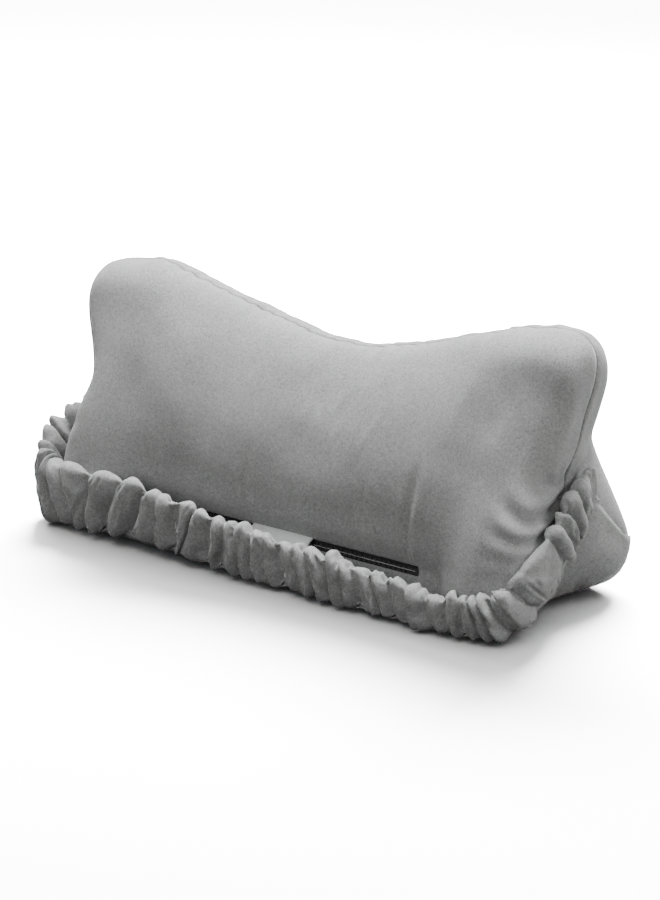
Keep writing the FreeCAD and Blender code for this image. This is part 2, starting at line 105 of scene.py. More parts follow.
# The valleys between its gathers: distance from the right end at mid height, how far the top of each lies
# beyond its foot towards the left end, and its share of the full depth.
GATHERS = [(10, 1, 0.6), (27, 0, 1.1), (44, 2, 1.2), (54, 4, 0.9), (66, 6, 0.7), (110, 12, 0.85),
           (131, 9, 0.7), (142, 11, 1.0), (151, 8, 0.8), (161, 7, 0.9), (172, 5, 1.0), (185, 8, 0.6),
           (199, 10, 0.9), (215, 12, 1.0), (228, 17, 1.15), (244, 10, 0.85), (254, 9, 0.6), (265, 11, 1.0),
           (282, 15, 1.1), (292, 12, 0.75), (308, 12, 1.05), (319, 9, 0.6), (330, 7, 0.75), (342, 9, 1.1),
           (357, 1, 0.85), (368, 1, 1.1), (387, -13, 1.15), (399, 13, 1.2), (414, -4, 0.5), (434, -18, 1.2),
           (456, -21, 0.9), (478, -9, 1.3), (497, 19, 0.9), (513, 17, 0.9), (529, -4, 1.2), (545, 9, 1.1),
           (560, 1, 0.8), (576, 3, 0.8), (593, 0, 0.6), (609, 2, 0.6), (624, 0, 0.5)]
GATHER_DEPTH = 8.0
LEAST_GAP = 3.5  # between two valleys
# Small creases: how many, how high round the casing, how far off the gathers' direction (radians), and
# half length, depth and width: along the outer face, along the top edge, at the foot.
CREASE_KINDS = [(56, (6, 46), 0.22, (7, 16), (0.7, 1.8), (1.0, 1.8)),
                (70, (38, 52), 0.2, (4, 9), (0.8, 1.9), (0.8, 1.3)),
                (40, (0, 8), 0.25, (4, 9), (0.8, 1.6), (0.8, 1.3))]
CLOTH_THICK = 1.2

# The two cloth simulations. No point moves further than cap.
PILLOW_CLOTH = {"frames": 12, "pressure": 3.0, "cap": 3.0, "stiffness": 14, "bending": 1.2}
CASING_CLOTH = {"frames": 10, "pressure": 1.6, "cap": 3.0, "stiffness": 10, "bending": 0.15}

# The hood panel's sewn edge, from the casing's right end round the back to its left end.
SEWN_EDGE = [(199, 40, 68), (203, 52, 50), (203, 66, 34), (194, 76, 27), (170, 79, 25), (85, 79, 25),
             (0, 79, 25), (-85, 79, 25), (-170, 79, 25), (-194, 76, 27), (-203, 62, 36), (-204, 46, 50),
             (-202, 28, 66), (-198, 13, 76)]
HOOD_FLOOR = 1.9  # height of the hood's cloth where the pillow lies on it
HOOD_STEPS, HOOD_TURN = 44, 26  # rows of points from its edge inwards, and how many of them curve down
LABEL_HALF, LABEL_CENTRE = 25.0, -4.0  # along X

PANEL_STEPS = 44  # points across each panel
BODY_STEPS = 168  # stations between the caps
CAP_STEPS = 26  # stations in each cap
ARC_STEPS, CURVE_STEPS = 9, 30  # points on a lobe's arc and on the curve between two lobes

# The zip lies on the front face of the CAD model: y and z of its middle line, the way up that face and
# the way out of it, and half its length.
ZIP_Y, ZIP_Z = -43.18485, 26.65138
ZIP_UP = np.array([0.0, 0.289505, 0.957176])
ZIP_OUT = np.array([0.0, -0.957176, 0.289505])
ZIP_HALF = 108.0
SLOT_TOP, SLOT_LOW = 4.2, -2.8  # the cover's edges above and below the zip's middle
SLOT_COLUMNS = (36, 38)  # the columns of the chair-side panel that run along those edges
ZIP_SUNK = 1.3  # how far the cover stands above the zip's plane beside it
ZIP_MIDDLE = 0.7  # the middle of the slot, up from the zip's middle

# Camera and lamps, in metres and degrees.
CAMERA_TURN, CAMERA_RISE, CAMERA_AWAY, CAMERA_LENS = 34, 21, 2.02, 115.0
CAMERA_TARGET = (0.005, 0.0, 0.080)
SKY_FROM, SKY_TO = (0.35, 0.03), (1.0, 1.1)  # place on the ramp from below to straight up, and brightness
# Name, place, the point it looks at, sides, power, and whether it lights the floor alone.
LAMPS = [("key", (-0.15, 0.52, 1.75), (0, 0, 0.08), (0.9, 0.9), 130, False),
         ("fill", (0.3, -1.8, 0.9), (0, 0, 0.08), (1.2, 1.2), 10.5, False),
         ("side", (1.7, 0.6, 1.0), (0.15, 0.05, 0.1), (0.9, 0.9), 20, False),
         ("sweep", (-0.32, 0.86, 0.92), (0, 0, 0), (1.0, 0.5), 700, True),
         ("floor_glow", (0.0, 0.0, 3.0), (0, 0, 0), (4.0, 4.0), 70, True),
         ("back_glow", (-1.5, 2.5, 2.5), (-2.2, 3.6, 0), (4.0, 4.0), 1500, True)]
FLOOR_HALF, FLOOR_DROP = 6000, 0.0006  # millimetres, metres


# ---------------------------------------------------------------- numeric helpers

def smooth(t):
    t = np.clip(t, 0.0, 1.0)
    return t * t * (3 - 2 * t)


def ramp(x, a, b):
    """0 before a, 1 after b, smooth between; a may be above b."""
    return smooth((x - a) / (b - a))


def bump(x, centre, width):
    return np.exp(-((x - centre) / width) ** 2)


def curve_through(table, x):
    """Smooth values through a table of rows (x, v1, v2, ...), by monotone cubics."""
    table = np.array(table, float)
    xs, vs = table[:, 0], table[:, 1:]
    step = np.diff(xs)[:, None]
    slope = np.diff(vs, axis=0) / step
    tangent = np.zeros_like(vs)
    both = slope[:-1] * slope[1:] > 0
    inner = np.where(both, 2 * slope[:-1] * slope[1:] / np.where(both, slope[:-1] + slope[1:], 1), 0)
    tangent[1:-1] = inner
    x = np.clip(np.asarray(x, float), xs[0], xs[-1])
    k = np.clip(np.searchsorted(xs, x, side="right") - 1, 0, len(xs) - 2)
    h = np.diff(xs)[k][..., None]
    t = ((x - xs[k])[..., None]) / h
    return ((2 * t**3 - 3 * t**2 + 1) * vs[k] + (t**3 - 2 * t**2 + t) * h * tangent[k]
            + (-2 * t**3 + 3 * t**2) * vs[k + 1] + (t**3 - t**2) * h * tangent[k + 1])


class Waves:
    """Smooth seeded noise: a sum of plane waves of random direction, in any number of coordinates."""

    def __init__(self, seed, dims, wavelength, count=24):
        rng = np.random.default_rng(seed)
        way = rng.normal(size=(count, dims))
        way /= np.linalg.norm(way, axis=1, keepdims=True)
        self.k = way * (2 * math.pi / wavelength) * rng.uniform(0.6, 1.5, (count, 1))
        self.phase = rng.uniform(0, 2 * math.pi, count)
        self.gain = math.sqrt(2.0 / count)

    def __call__(self, *coords):
        p = np.stack(np.broadcast_arrays(*coords), axis=-1)
        return np.sin(p @ self.k.T + self.phase).sum(-1) * self.gain


def resample(line, count):
    """A polyline of the given number of points, evenly spaced along the given one."""
    line = np.asarray(line, float)
    s = np.concatenate([[0], np.cumsum(np.linalg.norm(np.diff(line, axis=0), axis=1))])
    at = np.linspace(0, s[-1], count)
    return np.stack([np.interp(at, s, line[:, i]) for i in range(line.shape[1])], axis=1)


def grid_normals(p):
    """Unit normals of a grid that closes on itself along its second axis."""
    du = np.gradient(p, axis=0)
    dv = (np.roll(p, -1, 1) - np.roll(p, 1, 1)) / 2
    n = np.cross(du, dv)
    return n / np.maximum(np.linalg.norm(n, axis=2, keepdims=True), 1e-9)


# ---------------------------------------------------------------- mesh helpers

def mesh_object(name, points, faces, shade_smooth=True):
    """A mesh from points in millimetres."""
    mesh = bpy.data.meshes.new(name)
    mesh.from_pydata((np.asarray(points) * MM).tolist(), [], [list(map(int, f)) for f in faces])
    mesh.update()
    if shade_smooth:
        mesh.polygons.foreach_set("use_smooth", np.ones(len(mesh.polygons), bool))
    made = bpy.data.objects.new(name, mesh)
    bpy.context.scene.collection.objects.link(made)
    return made


def grid_faces(nu, nv, wrap_u=False, wrap_v=False, flip=False):
    """Quads over a grid of nu by nv points; a wrapped direction closes on itself."""
    i = np.arange(nu if wrap_u else nu - 1)
    j = np.arange(nv if wrap_v else nv - 1)
    a, b = np.meshgrid(i, j, indexing="ij")
    a, b = a.ravel(), b.ravel()
    a2, b2 = (a + 1) % nu, (b + 1) % nv
    quads = np.stack([a * nv + b, a2 * nv + b, a2 * nv + b2, a * nv + b2], axis=1)
    return quads[:, ::-1] if flip else quads


def apply_modifiers(obj):
    graph = bpy.context.evaluated_depsgraph_get()
    final = bpy.data.meshes.new_from_object(obj.evaluated_get(graph), depsgraph=graph)
    old = obj.data
    obj.modifiers.clear()
    obj.data = final
    bpy.data.meshes.remove(old)


def subdivide(obj):
    made = obj.modifiers.new("Subdivision", "SUBSURF")
    made.levels = made.render_levels = 1
    apply_modifiers(obj)


def thicken(obj, thickness, offset=-1.0):
    made = obj.modifiers.new("Solidify", "SOLIDIFY")
    made.thickness = thickness * MM
    made.offset = offset
    apply_modifiers(obj)


def coordinates(obj):
    co = np.zeros(len(obj.data.vertices) * 3, np.float32)
    obj.data.vertices.foreach_get("co", co)
    return co.reshape(-1, 3).astype(float) / MM


def set_coordinates(obj, points):
    obj.data.vertices.foreach_set("co", (np.asarray(points) * MM).astype(np.float32).ravel())
    obj.data.update()


def weight_group(obj, name, weights):
    """A vertex group with one weight for each vertex, in steps of 0.01."""
    group = obj.vertex_groups.new(name=name)
    weights = np.asarray(weights, float)
    levels = np.round(weights, 2)
    for level in np.unique(levels):
        if level > 0:
            group.add(np.nonzero(levels == level)[0].tolist(), float(level), "REPLACE")
    return group.name


def relax_cloth(obj, pinned, frames, pressure, cap, stiffness, bending):
    """Runs a short cloth simulation with no gravity and keeps its result; no point moves further than cap."""
    start = coordinates(obj)
    cloth = obj.modifiers.new("Cloth", "CLOTH")
    s = cloth.settings
    s.quality = 5
    s.mass = 0.25
    s.tension_stiffness = s.compression_stiffness = stiffness
    s.shear_stiffness = stiffness * 0.4
    s.bending_stiffness = bending
    s.use_pressure = True
    s.uniform_pressure_force = pressure
    s.effector_weights.gravity = 0.0
    s.air_damping = 4.0
    s.vertex_group_mass = weight_group(obj, "pinned", pinned)
    s.pin_stiffness = 1.0
    cloth.collision_settings.use_collision = False
    scene = bpy.context.scene
    cloth.point_cache.frame_start = 1
    cloth.point_cache.frame_end = frames + 1
    for f in range(1, frames + 1):
        scene.frame_set(f)
    graph = bpy.context.evaluated_depsgraph_get()
    posed = obj.evaluated_get(graph).to_mesh()
    co = np.zeros(len(posed.vertices) * 3, np.float32)
    posed.vertices.foreach_get("co", co)
    obj.evaluated_get(graph).to_mesh_clear()
    end = co.reshape(-1, 3).astype(float) / MM
    obj.modifiers.clear()
    scene.frame_set(1)
    move = end - start
    far = np.linalg.norm(move, axis=1, keepdims=True)
    move *= np.minimum(1.0, cap / np.maximum(far, 1e-9))
    set_coordinates(obj, start + move)
    return start + move


# ---------------------------------------------------------------- pillow shape

def tangent_normal(here, there):
    """The outward normal of the line that touches two circles, given as y, z and radius."""
    dy, dz = there[0] - here[0], there[1] - here[1]
    length = math.hypot(dy, dz)
    along = (here[2] - there[2]) / length
    across = math.sqrt(1 - along * along)
    return np.array([(along * dy + across * dz) / length, (along * dz - across * dy) / length])


def turned(n, toward, degrees):
    """The unit vector n turned by an angle towards another."""
    angle = math.radians(degrees) * np.sign(n[0] * toward[1] - n[1] * toward[0])
    c, s = math.cos(angle), math.sin(angle)
    return np.array([c * n[0] - s * n[1], s * n[0] + c * n[1]])


def level_with(direction, normal):
    """The unit vector square to the normal that is nearest to a direction."""
    flat = direction - direction.dot(normal) * normal
    return flat / np.linalg.norm(flat)


def section(x):
    """The pillow's outline at x, PANEL_STEPS points for each panel. It runs from the top seam down the
    chair-side panel, back along the base and up the head-side panel."""
    circles = [curve_through(LOBES[name], x) for name in LOBE_ORDER]
    full = ramp(abs(x), 60, 150)
    pinch = ramp(abs(x), 140, 185)
    hollow = ramp(abs(x), 105, 160) * (1.0 if x > 0 else 0.65)
    turns = ((24 - 6 * full - 24 * hollow, 42 - 15 * full - 15 * hollow), (1.5, 1.5),
             (11 + 2 * full - 16 * pinch, 11 + 2 * full - 16 * pinch))
    normals = [tangent_normal(circles[i], circles[(i + 1) % 3]) for i in range(3)]
    outline = []
    for i in range(3):
        here, there, n = circles[i], circles[(i + 1) % 3], normals[i]
        before, after = normals[i - 1], normals[(i + 1) % 3]
        crest = (before + n) / np.linalg.norm(before + n)
        next_crest = (n + after) / np.linalg.norm(n + after)
        first, last = turned(n, before, turns[i][0]), turned(n, after, turns[i][1])
        points = []
        for k in range(ARC_STEPS):
            d = crest * (1 - k / ARC_STEPS) + first * (k / ARC_STEPS)
            points.append(here[:2] + here[2] * d / np.linalg.norm(d))
        start, end = here[:2] + here[2] * first, there[:2] + there[2] * last
        leave, arrive = level_with(end - start, first), level_with(end - start, last)
        hold = PANEL_HOLD * np.linalg.norm(end - start)
        for t in np.linspace(0, 1, CURVE_STEPS):
            points.append((1 - t) ** 3 * start + 3 * t * (1 - t) ** 2 * (start + hold * leave)
                          + 3 * t * t * (1 - t) * (end - hold * arrive) + t ** 3 * end)
        for k in range(1, ARC_STEPS + 1):
            d = last * (1 - k / ARC_STEPS) + next_crest * (k / ARC_STEPS)
            points.append(there[:2] + there[2] * d / np.linalg.norm(d))
        outline.append(resample(points, PANEL_STEPS + 1)[:-1])
    return np.concatenate(outline)


def pillow_grid():
    """The pillow's whole surface: an array (stations, points around, 3), and its two end points."""
    around = 3 * PANEL_STEPS
    reach_at = {side: np.full(around, CAP_FLANK[side]) for side in (-1, 1)}
    for i, name in enumerate(LOBE_ORDER):
        gap = np.abs((np.arange(around) / PANEL_STEPS - i + 1.5) % 3 - 1.5)
        lobe = np.clip(np.cos(math.pi * np.clip(gap, 0, 0.5)), 0, 1) ** 1.3
        for side in (-1, 1):
            reach_at[side] += (CAP_REACH[side][name] - CAP_FLANK[side]) * lobe
    rows = []
    for x in np.linspace(-CAP_FROM, CAP_FROM, BODY_STEPS + 1):
        yz = section(x)
        rows.append(np.column_stack([np.full(around, x), yz]))
    theta = np.linspace(0, math.pi / 2, 400)
    profile = np.stack([np.sin(theta) ** (2 / CAP_POWER), np.cos(theta) ** (2 / CAP_POWER)], axis=1)
    flattened = profile * np.array([0.32, 1.0])  # about the cap's true proportions
    s = np.concatenate([[0], np.cumsum(np.linalg.norm(np.diff(flattened, axis=0), axis=1))])
    at = np.linspace(0, s[-1], CAP_STEPS + 1)[1:-1]
    out = np.interp(at, s, profile[:, 0])
    shrink = np.interp(at, s, profile[:, 1])
    caps = {}
    hub = np.array(HUB)
    for side in (-1, 1):
        rings = []
        for o, g in zip(out, shrink):
            yz = section(side * (CAP_FROM + 12 * o))
            yz = hub + (yz - hub) * g
            reach = CAP_MIDDLE[side] + (reach_at[side] - CAP_MIDDLE[side]) * smooth(g)
            rings.append(np.column_stack([side * (CAP_FROM + reach * o), yz]))
        caps[side] = rings
    rows = caps[-1][::-1] + rows + caps[1]
    poles = [np.array([side * (CAP_FROM + CAP_MIDDLE[side]), *HUB]) for side in (-1, 1)]
    return np.array(rows), poles


def pillow_faces(rows, around):
    """Quads of the grid plus a fan at each pole; the poles are the last two points."""
    faces = grid_faces(rows, around, wrap_v=True, flip=True).tolist()
    left, right = rows * around, rows * around + 1
    last = (rows - 1) * around
    for j in range(around):
        k = (j + 1) % around
        faces.append([left, k, j])
        faces.append([right, last + j, last + k])
    return faces


# ---------------------------------------------------------------- materials

def new_material(name):
    made = bpy.data.materials.new(name)
    made.use_nodes = True
    nodes, links = made.node_tree.nodes, made.node_tree.links
    nodes.clear()
    out = nodes.new("ShaderNodeOutputMaterial")
    shader = nodes.new("ShaderNodeBsdfPrincipled")
    links.new(shader.outputs[0], out.inputs[0])
    return made, nodes, links, shader


def node(nodes, kind, **values):
    made = nodes.new(kind)
    for key, value in values.items():
        if key in made.inputs:
            made.inputs[key].default_value = value
        else:
            setattr(made, key, value)
    return made


def shaded(colour, share):
    return tuple(c * share for c in colour)


def colour_ramp(nodes, links, factor, dark, light, span=(0.0, 1.0)):
    """A ramp between two colours over part of the factor's range."""
    made = nodes.new("ShaderNodeValToRGB")
    for element, place, colour in zip(made.color_ramp.elements, span, (dark, light)):
        element.position = place
        element.color = tuple(colour) + (1,)
    links.new(factor, made.inputs["Fac"])
    return made


def set_roughness(nodes, links, shader, factor, low, high):
    made = node(nodes, "ShaderNodeMapRange", **{"To Min": low, "To Max": high})
    links.new(factor, made.inputs["Value"])
    links.new(made.outputs[0], shader.inputs["Roughness"])


def set_bump(nodes, links, shader, height, strength, distance):
    made = node(nodes, "ShaderNodeBump", Strength=strength, Distance=distance)
    links.new(height, made.inputs["Height"])
    links.new(made.outputs["Normal"], shader.inputs["Normal"])


def microsuede(name, base):
    """Brushed nap: fine speckle, slightly lighter and darker patches, soft sheen."""
    made, nodes, links, shader = new_material(name)
    place = nodes.new("ShaderNodeTexCoord")
    speck = node(nodes, "ShaderNodeTexNoise", Scale=1500.0, Detail=4.0, Roughness=0.7)
    grain = node(nodes, "ShaderNodeTexNoise", Scale=680.0, Detail=5.0, Roughness=0.75)
    patch = node(nodes, "ShaderNodeTexNoise", Scale=26.0, Detail=4.0, Roughness=0.6)
    for n in (speck, grain, patch):
        links.new(place.outputs["Object"], n.inputs["Vector"])
    speck_share = node(nodes, "ShaderNodeMath", operation="MULTIPLY")
    speck_share.inputs[1].default_value = 0.45
    links.new(speck.outputs["Fac"], speck_share.inputs[0])
    nap = node(nodes, "ShaderNodeMath", operation="MULTIPLY_ADD")
    nap.inputs[1].default_value = 0.55
    links.new(grain.outputs["Fac"], nap.inputs[0])
    links.new(speck_share.outputs[0], nap.inputs[2])
    fibres = colour_ramp(nodes, links, nap.outputs[0], shaded(base, 0.66), shaded(base, 1.36), (0.39, 0.61))
    tone = colour_ramp(nodes, links, patch.outputs["Fac"], (0.94,) * 3, (1.05,) * 3, (0.3, 0.7))
    mix = nodes.new("ShaderNodeMix")
    mix.data_type = "RGBA"
    mix.blend_type = "MULTIPLY"
    mix.inputs[0].default_value = 1.0
    links.new(fibres.outputs["Color"], mix.inputs[6])
    links.new(tone.outputs["Color"], mix.inputs[7])
    links.new(mix.outputs[2], shader.inputs["Base Color"])
    set_roughness(nodes, links, shader, grain.outputs["Fac"], 0.85, 0.98)
    shader.inputs["Specular IOR Level"].default_value = 0.25
    shader.inputs["Sheen Weight"].default_value = 0.25
    shader.inputs["Sheen Roughness"].default_value = 0.45
    set_bump(nodes, links, shader, nap.outputs[0], 0.35, 0.0006)
    return made


def woven(name, base, scale, contrast=0.12, roughness=0.8):
    """Plain weave from two crossed wave textures."""
    made, nodes, links, shader = new_material(name)
    place = nodes.new("ShaderNodeTexCoord")
    bands = []
    for direction in ("X", "Z"):
        wave = node(nodes, "ShaderNodeTexWave", Scale=scale, Distortion=0.4)
        wave.bands_direction = direction
        links.new(place.outputs["Object"], wave.inputs["Vector"])
        bands.append(wave)
    cross = node(nodes, "ShaderNodeMath", operation="MULTIPLY")
    links.new(bands[0].outputs["Fac"], cross.inputs[0])
    links.new(bands[1].outputs["Fac"], cross.inputs[1])
    colour = colour_ramp(nodes, links, cross.outputs[0], shaded(base, 1 - contrast),
                         shaded(base, 1 + contrast))
    links.new(colour.outputs["Color"], shader.inputs["Base Color"])
    shader.inputs["Roughness"].default_value = roughness
    set_bump(nodes, links, shader, cross.outputs[0], 0.4, 0.0003)
    return made


def smooth_plastic(name, base, roughness, metallic=0.0):
    made, nodes, links, shader = new_material(name)
    place = nodes.new("ShaderNodeTexCoord")
    noise = node(nodes, "ShaderNodeTexNoise", Scale=600.0, Detail=3.0)
    links.new(place.outputs["Object"], noise.inputs["Vector"])
    colour = colour_ramp(nodes, links, noise.outputs["Fac"], shaded(base, 0.85), shaded(base, 1.15))
    links.new(colour.outputs["Color"], shader.inputs["Base Color"])
    set_roughness(nodes, links, shader, noise.outputs["Fac"], roughness - 0.06, roughness + 0.06)
    shader.inputs["Metallic"].default_value = metallic
    return made


GREY = (0.270, 0.274, 0.272)
SUEDE = microsuede("microsuede", GREY)
LINER = woven("liner_cloth", (0.78, 0.78, 0.77), 900)
FIBRE = microsuede("fibre_fill", (0.80, 0.80, 0.79))
ELASTIC = woven("elastic", (0.72, 0.72, 0.71), 500, 0.2)
TAPE = woven("zip_tape", (0.022, 0.023, 0.027), 700, 0.5, 0.75)
COIL = smooth_plastic("zip_coil", (0.016, 0.016, 0.019), 0.38)
METAL = smooth_plastic("zip_metal", (0.022, 0.022, 0.025), 0.32, 0.3)
LABEL = woven("label_cloth", (0.93, 0.94, 0.94), 1400, 0.05, 0.6)


def finish_piece(obj, material, body=None):
    obj.data.materials.clear()
    obj.data.materials.append(material)
    if body:
        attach(obj, body)


# ---------------------------------------------------------------- pillow pieces

def puff_up():
    """The pillow's grid of points and its two poles, as the cloth simulation leaves them, and its faces."""
    grid, poles = pillow_grid()
    rows, around = grid.shape[:2]
    points = np.concatenate([grid.reshape(-1, 3), np.array(poles)])
    faces = pillow_faces(rows, around)
    form = mesh_object("pillow_form", points, faces)
    near_zip = np.abs(np.arange(around) - PANEL_STEPS)[None, :] < 13
    fixed = np.where(near_zip & (np.abs(grid[..., 0]) < ZIP_HALF + 14), 1.0, 0.0)
    fixed = np.append(fixed.ravel(), [0.6, 0.6])
    points = relax_cloth(form, fixed, **PILLOW_CLOTH)
    bpy.data.objects.remove(form)
    return points[:-2].reshape(rows, around, 3), points[-2:], faces


def detail(grid):
    """The surface's normals, and gentle lumps of the fibre, tension creases and seam puckers as moves along
    them. The third result is each point's place round the pillow, in panels."""
    rows, around = grid.shape[:2]
    normal = grid_normals(grid)
    if (normal * (grid - np.array([0, HUB[0], HUB[1]]))).sum() < 0:
        normal = -normal
    x, y, z = grid[..., 0], grid[..., 1], grid[..., 2]
    share = np.tile(np.arange(around) / PANEL_STEPS, (rows, 1))
    panel = np.floor(share + 1e-6)
    across = share - panel
    lumps = Waves(3, 3, 85.0)(x, y, z) * 0.5 + Waves(4, 3, 34.0)(x, y, z) * 0.16
    seam_gap = np.abs(share - np.round(share)) * PANEL_STEPS
    puckers = Waves(61, 2, 11.0)(x, y * 0.3) * np.exp(-(seam_gap / 2.6) ** 2) * 0.55
    move = (lumps + puckers) * ramp(z, 10, 40)
    front = panel == 0
    for x0, lean, top, depth, width in ZIP_CREASES:
        line = x0 + lean * (0.92 - across) / 0.5
        fade = ramp(across, top, top + 0.22) * ramp(across, 1.0, 0.93)
        groove = (bump(x, line, width) - 0.45 * bump(x, line + 2.2 * width, width)
                  - 0.35 * bump(x, line - 2.2 * width, width))
        move = move - np.where(front, depth * fade * groove, 0)
    for x0, z0, x1, z1, depth, width in BAND_PUCKERS:
        length = math.hypot(x1 - x0, z1 - z0)
        way = np.array([x1 - x0, z1 - z0]) / length
        along = (x - x0) * way[0] + (z - z0) * way[1]
        off = np.abs((z - z0) * way[0] - (x - x0) * way[1])
        spread = width * (1 + 0.6 * np.clip(along / length, 0, 1))
        fade = ramp(along, length, length * 0.25) * ramp(along, -8, 0)
        groove = bump(off, 0, spread) - 0.5 * bump(off, 2.1 * spread, spread)
        move = move - np.where(front, depth * fade * groove, 0)
    return normal, move, share


def sink_zip(points):
    """Draws the cover in beside the zip, so that it stands ZIP_SUNK above the zip's plane."""
    from_zip = points - np.array([0, ZIP_Y, ZIP_Z])
    rise = from_zip @ ZIP_UP
    above = from_zip @ ZIP_OUT - ZIP_SUNK
    dent = (np.maximum(above, 0) * bump(rise, ZIP_MIDDLE, np.where(rise > ZIP_MIDDLE, 9.0, 16.0))
            * ramp(np.abs(points[..., 0]), ZIP_HALF + 30, ZIP_HALF + 14))
    return points - np.where(points[..., 1] < -20, dent, 0)[..., None] * ZIP_OUT


class Pillow:
    """The pillow's finished surface: a grid of points with normals, how many points each lies from a seam,
    the two poles, and the faces over all of it."""

    def __init__(self):
        grid, self.poles, self.faces = puff_up()
        self.normal, move, share = detail(grid)
        self.from_seam = np.abs(share - np.round(share)) * PANEL_STEPS
        self.surface = sink_zip(grid + self.normal * move[..., None])

    def points(self):
        return np.concatenate([self.surface.reshape(-1, 3), self.poles])


def slot_columns(points):
    """Slides the points of each row around the chair-side panel, so that two columns run along the slot's
    edges."""
    moved = points.copy()
    search = slice(PANEL_STEPS // 3, PANEL_STEPS - 1)
    knots = np.array([0, SLOT_COLUMNS[0], SLOT_COLUMNS[1], PANEL_STEPS])
    for i in range(len(points)):
        line = points[i, :PANEL_STEPS + 1]
        s = np.concatenate([[0], np.cumsum(np.linalg.norm(np.diff(line, axis=0), axis=1))])
        up = (line[:, 1] - ZIP_Y) * ZIP_UP[1] + (line[:, 2] - ZIP_Z) * ZIP_UP[2]
        top, low = (np.interp(-level, -up[search], s[search]) for level in (SLOT_TOP, SLOT_LOW))
        at = np.interp(np.arange(PANEL_STEPS + 1), knots, [0, top, low, s[-1]])
        moved[i, :PANEL_STEPS + 1] = np.stack([np.interp(at, s, line[:, k]) for k in range(3)], axis=1)
    return moved


def cover_panel(pillow, name, node_name, panel, slot=False):
    """One sewn panel of the cover, between two seams; the chair-side one has the zip's slot."""
    seam_groove = 1.5 * np.exp(-(pillow.from_seam / 0.55) ** 2)
    points = pillow.surface - pillow.normal * seam_groove[..., None]
    if slot:
        points = slot_columns(points)
    columns = np.arange(panel * PANEL_STEPS, (panel + 1) * PANEL_STEPS + 1) % points.shape[1]
    part = points[:, columns]
    rows, count = part.shape[:2]
    faces = grid_faces(rows, count, flip=True)
    if slot:
        row, column = np.min(faces // count, axis=1), np.min(faces % count, axis=1)
        middle = (part[row, 0, 0] + part[row + 1, 0, 0]) / 2
        inside = (np.abs(middle) < ZIP_HALF) & (column >= SLOT_COLUMNS[0]) & (column < SLOT_COLUMNS[1])
        faces = faces[~inside]
    faces = faces.tolist()
    left, right = rows * count, rows * count + 1  # the two poles
    last = (rows - 1) * count
    for j in range(count - 1):
        faces.append([left, j + 1, j])
        faces.append([right, last + j, last + j + 1])
    obj = mesh_object(name, np.concatenate([part.reshape(-1, 3), pillow.poles]), faces)
    subdivide(obj)
    thicken(obj, CLOTH_THICK)
    finish_piece(obj, SUEDE, "pillow")
    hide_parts(node_name)


def inner_form(pillow, name, inset, node_name, material):
    """A form like the pillow's surface, but a little way inside it."""
    points = pillow.surface - pillow.normal * inset
    poles = [p - np.array([math.copysign(inset, p[0]), 0, 0]) for p in pillow.poles]
    obj = mesh_object(name, np.concatenate([points.reshape(-1, 3), poles]), pillow.faces)
    finish_piece(obj, material, "pillow")
    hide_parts(node_name)


# ---------------------------------------------------------------- camera, sky, floor and lamps

def aim(thing, direction):
    """Points a camera or a lamp along a direction."""
    thing.rotation_mode = "QUATERNION"
    thing.rotation_quaternion = direction.to_track_quat("-Z", "Y")


def make_camera():
    scene = bpy.context.scene
    lens = bpy.data.cameras.new("camera")
    camera = bpy.data.objects.new("camera", lens)
    scene.collection.objects.link(camera)
    turn, rise = math.radians(CAMERA_TURN), math.radians(CAMERA_RISE)
    back = Vector((math.sin(turn) * math.cos(rise), -math.cos(turn) * math.cos(rise), math.sin(rise)))
    camera.location = Vector(CAMERA_TARGET) + back * CAMERA_AWAY
    aim(camera, -back)
    lens.lens = CAMERA_LENS
    lens.sensor_width = 36.0
    lens.clip_start, lens.clip_end = 0.05, 30
    scene.camera = camera


def make_sky():
    """A sky that is dark at and below the horizon and light overhead."""
    world = bpy.data.worlds.new("studio")
    bpy.context.scene.world = world
    world.use_nodes = True
    nodes, links = world.node_tree.nodes, world.node_tree.links
    place = nodes.new("ShaderNodeTexCoord")
    axes = nodes.new("ShaderNodeSeparateXYZ")
    links.new(place.outputs["Generated"], axes.inputs[0])
    sky = colour_ramp(nodes, links, axes.outputs["Z"], (SKY_FROM[1],) * 3, (SKY_TO[1],) * 3,
                      (SKY_FROM[0], SKY_TO[0]))
    links.new(sky.outputs["Color"], nodes["Background"].inputs["Color"])
    nodes["Background"].inputs["Strength"].default_value = 1.0


def make_floor():
    corners = [(-FLOOR_HALF, -FLOOR_HALF, 0), (FLOOR_HALF, -FLOOR_HALF, 0),
               (FLOOR_HALF, FLOOR_HALF, 0), (-FLOOR_HALF, FLOOR_HALF, 0)]
    floor = mesh_object("floor", corners, [(0, 1, 2, 3)], False)
    made, _, _, shader = new_material("floor")
    shader.inputs["Base Color"].default_value = (0.9, 0.9, 0.9, 1)
    shader.inputs["Roughness"].default_value = 1.0
    shader.inputs["Specular IOR Level"].default_value = 0.0
    floor.data.materials.append(made)
    floor.location.z = -FLOOR_DROP
    floor.visible_diffuse = False
    return floor


def make_lamps(floor):
    """Some lamps light the floor alone and the others everything else, so that the floor stays white."""
    floor_only = bpy.data.collections.new("lit_by_floor_lamps")
    floor_only.objects.link(floor)
    all_but_floor = bpy.data.collections.new("not_lit_by_object_lamps")
    all_but_floor.objects.link(floor)
    all_but_floor.collection_objects[0].light_linking.link_state = "EXCLUDE"
    for name, place, look, size, power, on_floor in LAMPS:
        light = bpy.data.lights.new(name, "AREA")
        light.shape = "RECTANGLE"
        light.size, light.size_y = size
        light.energy = power
        lamp = bpy.data.objects.new(name, light)
        lamp.location = place
        aim(lamp, Vector(look) - Vector(place))
        bpy.context.scene.collection.objects.link(lamp)
        lamp.light_linking.receiver_collection = floor_only if on_floor else all_but_floor


# ---------------------------------------------------------------- gathered casing

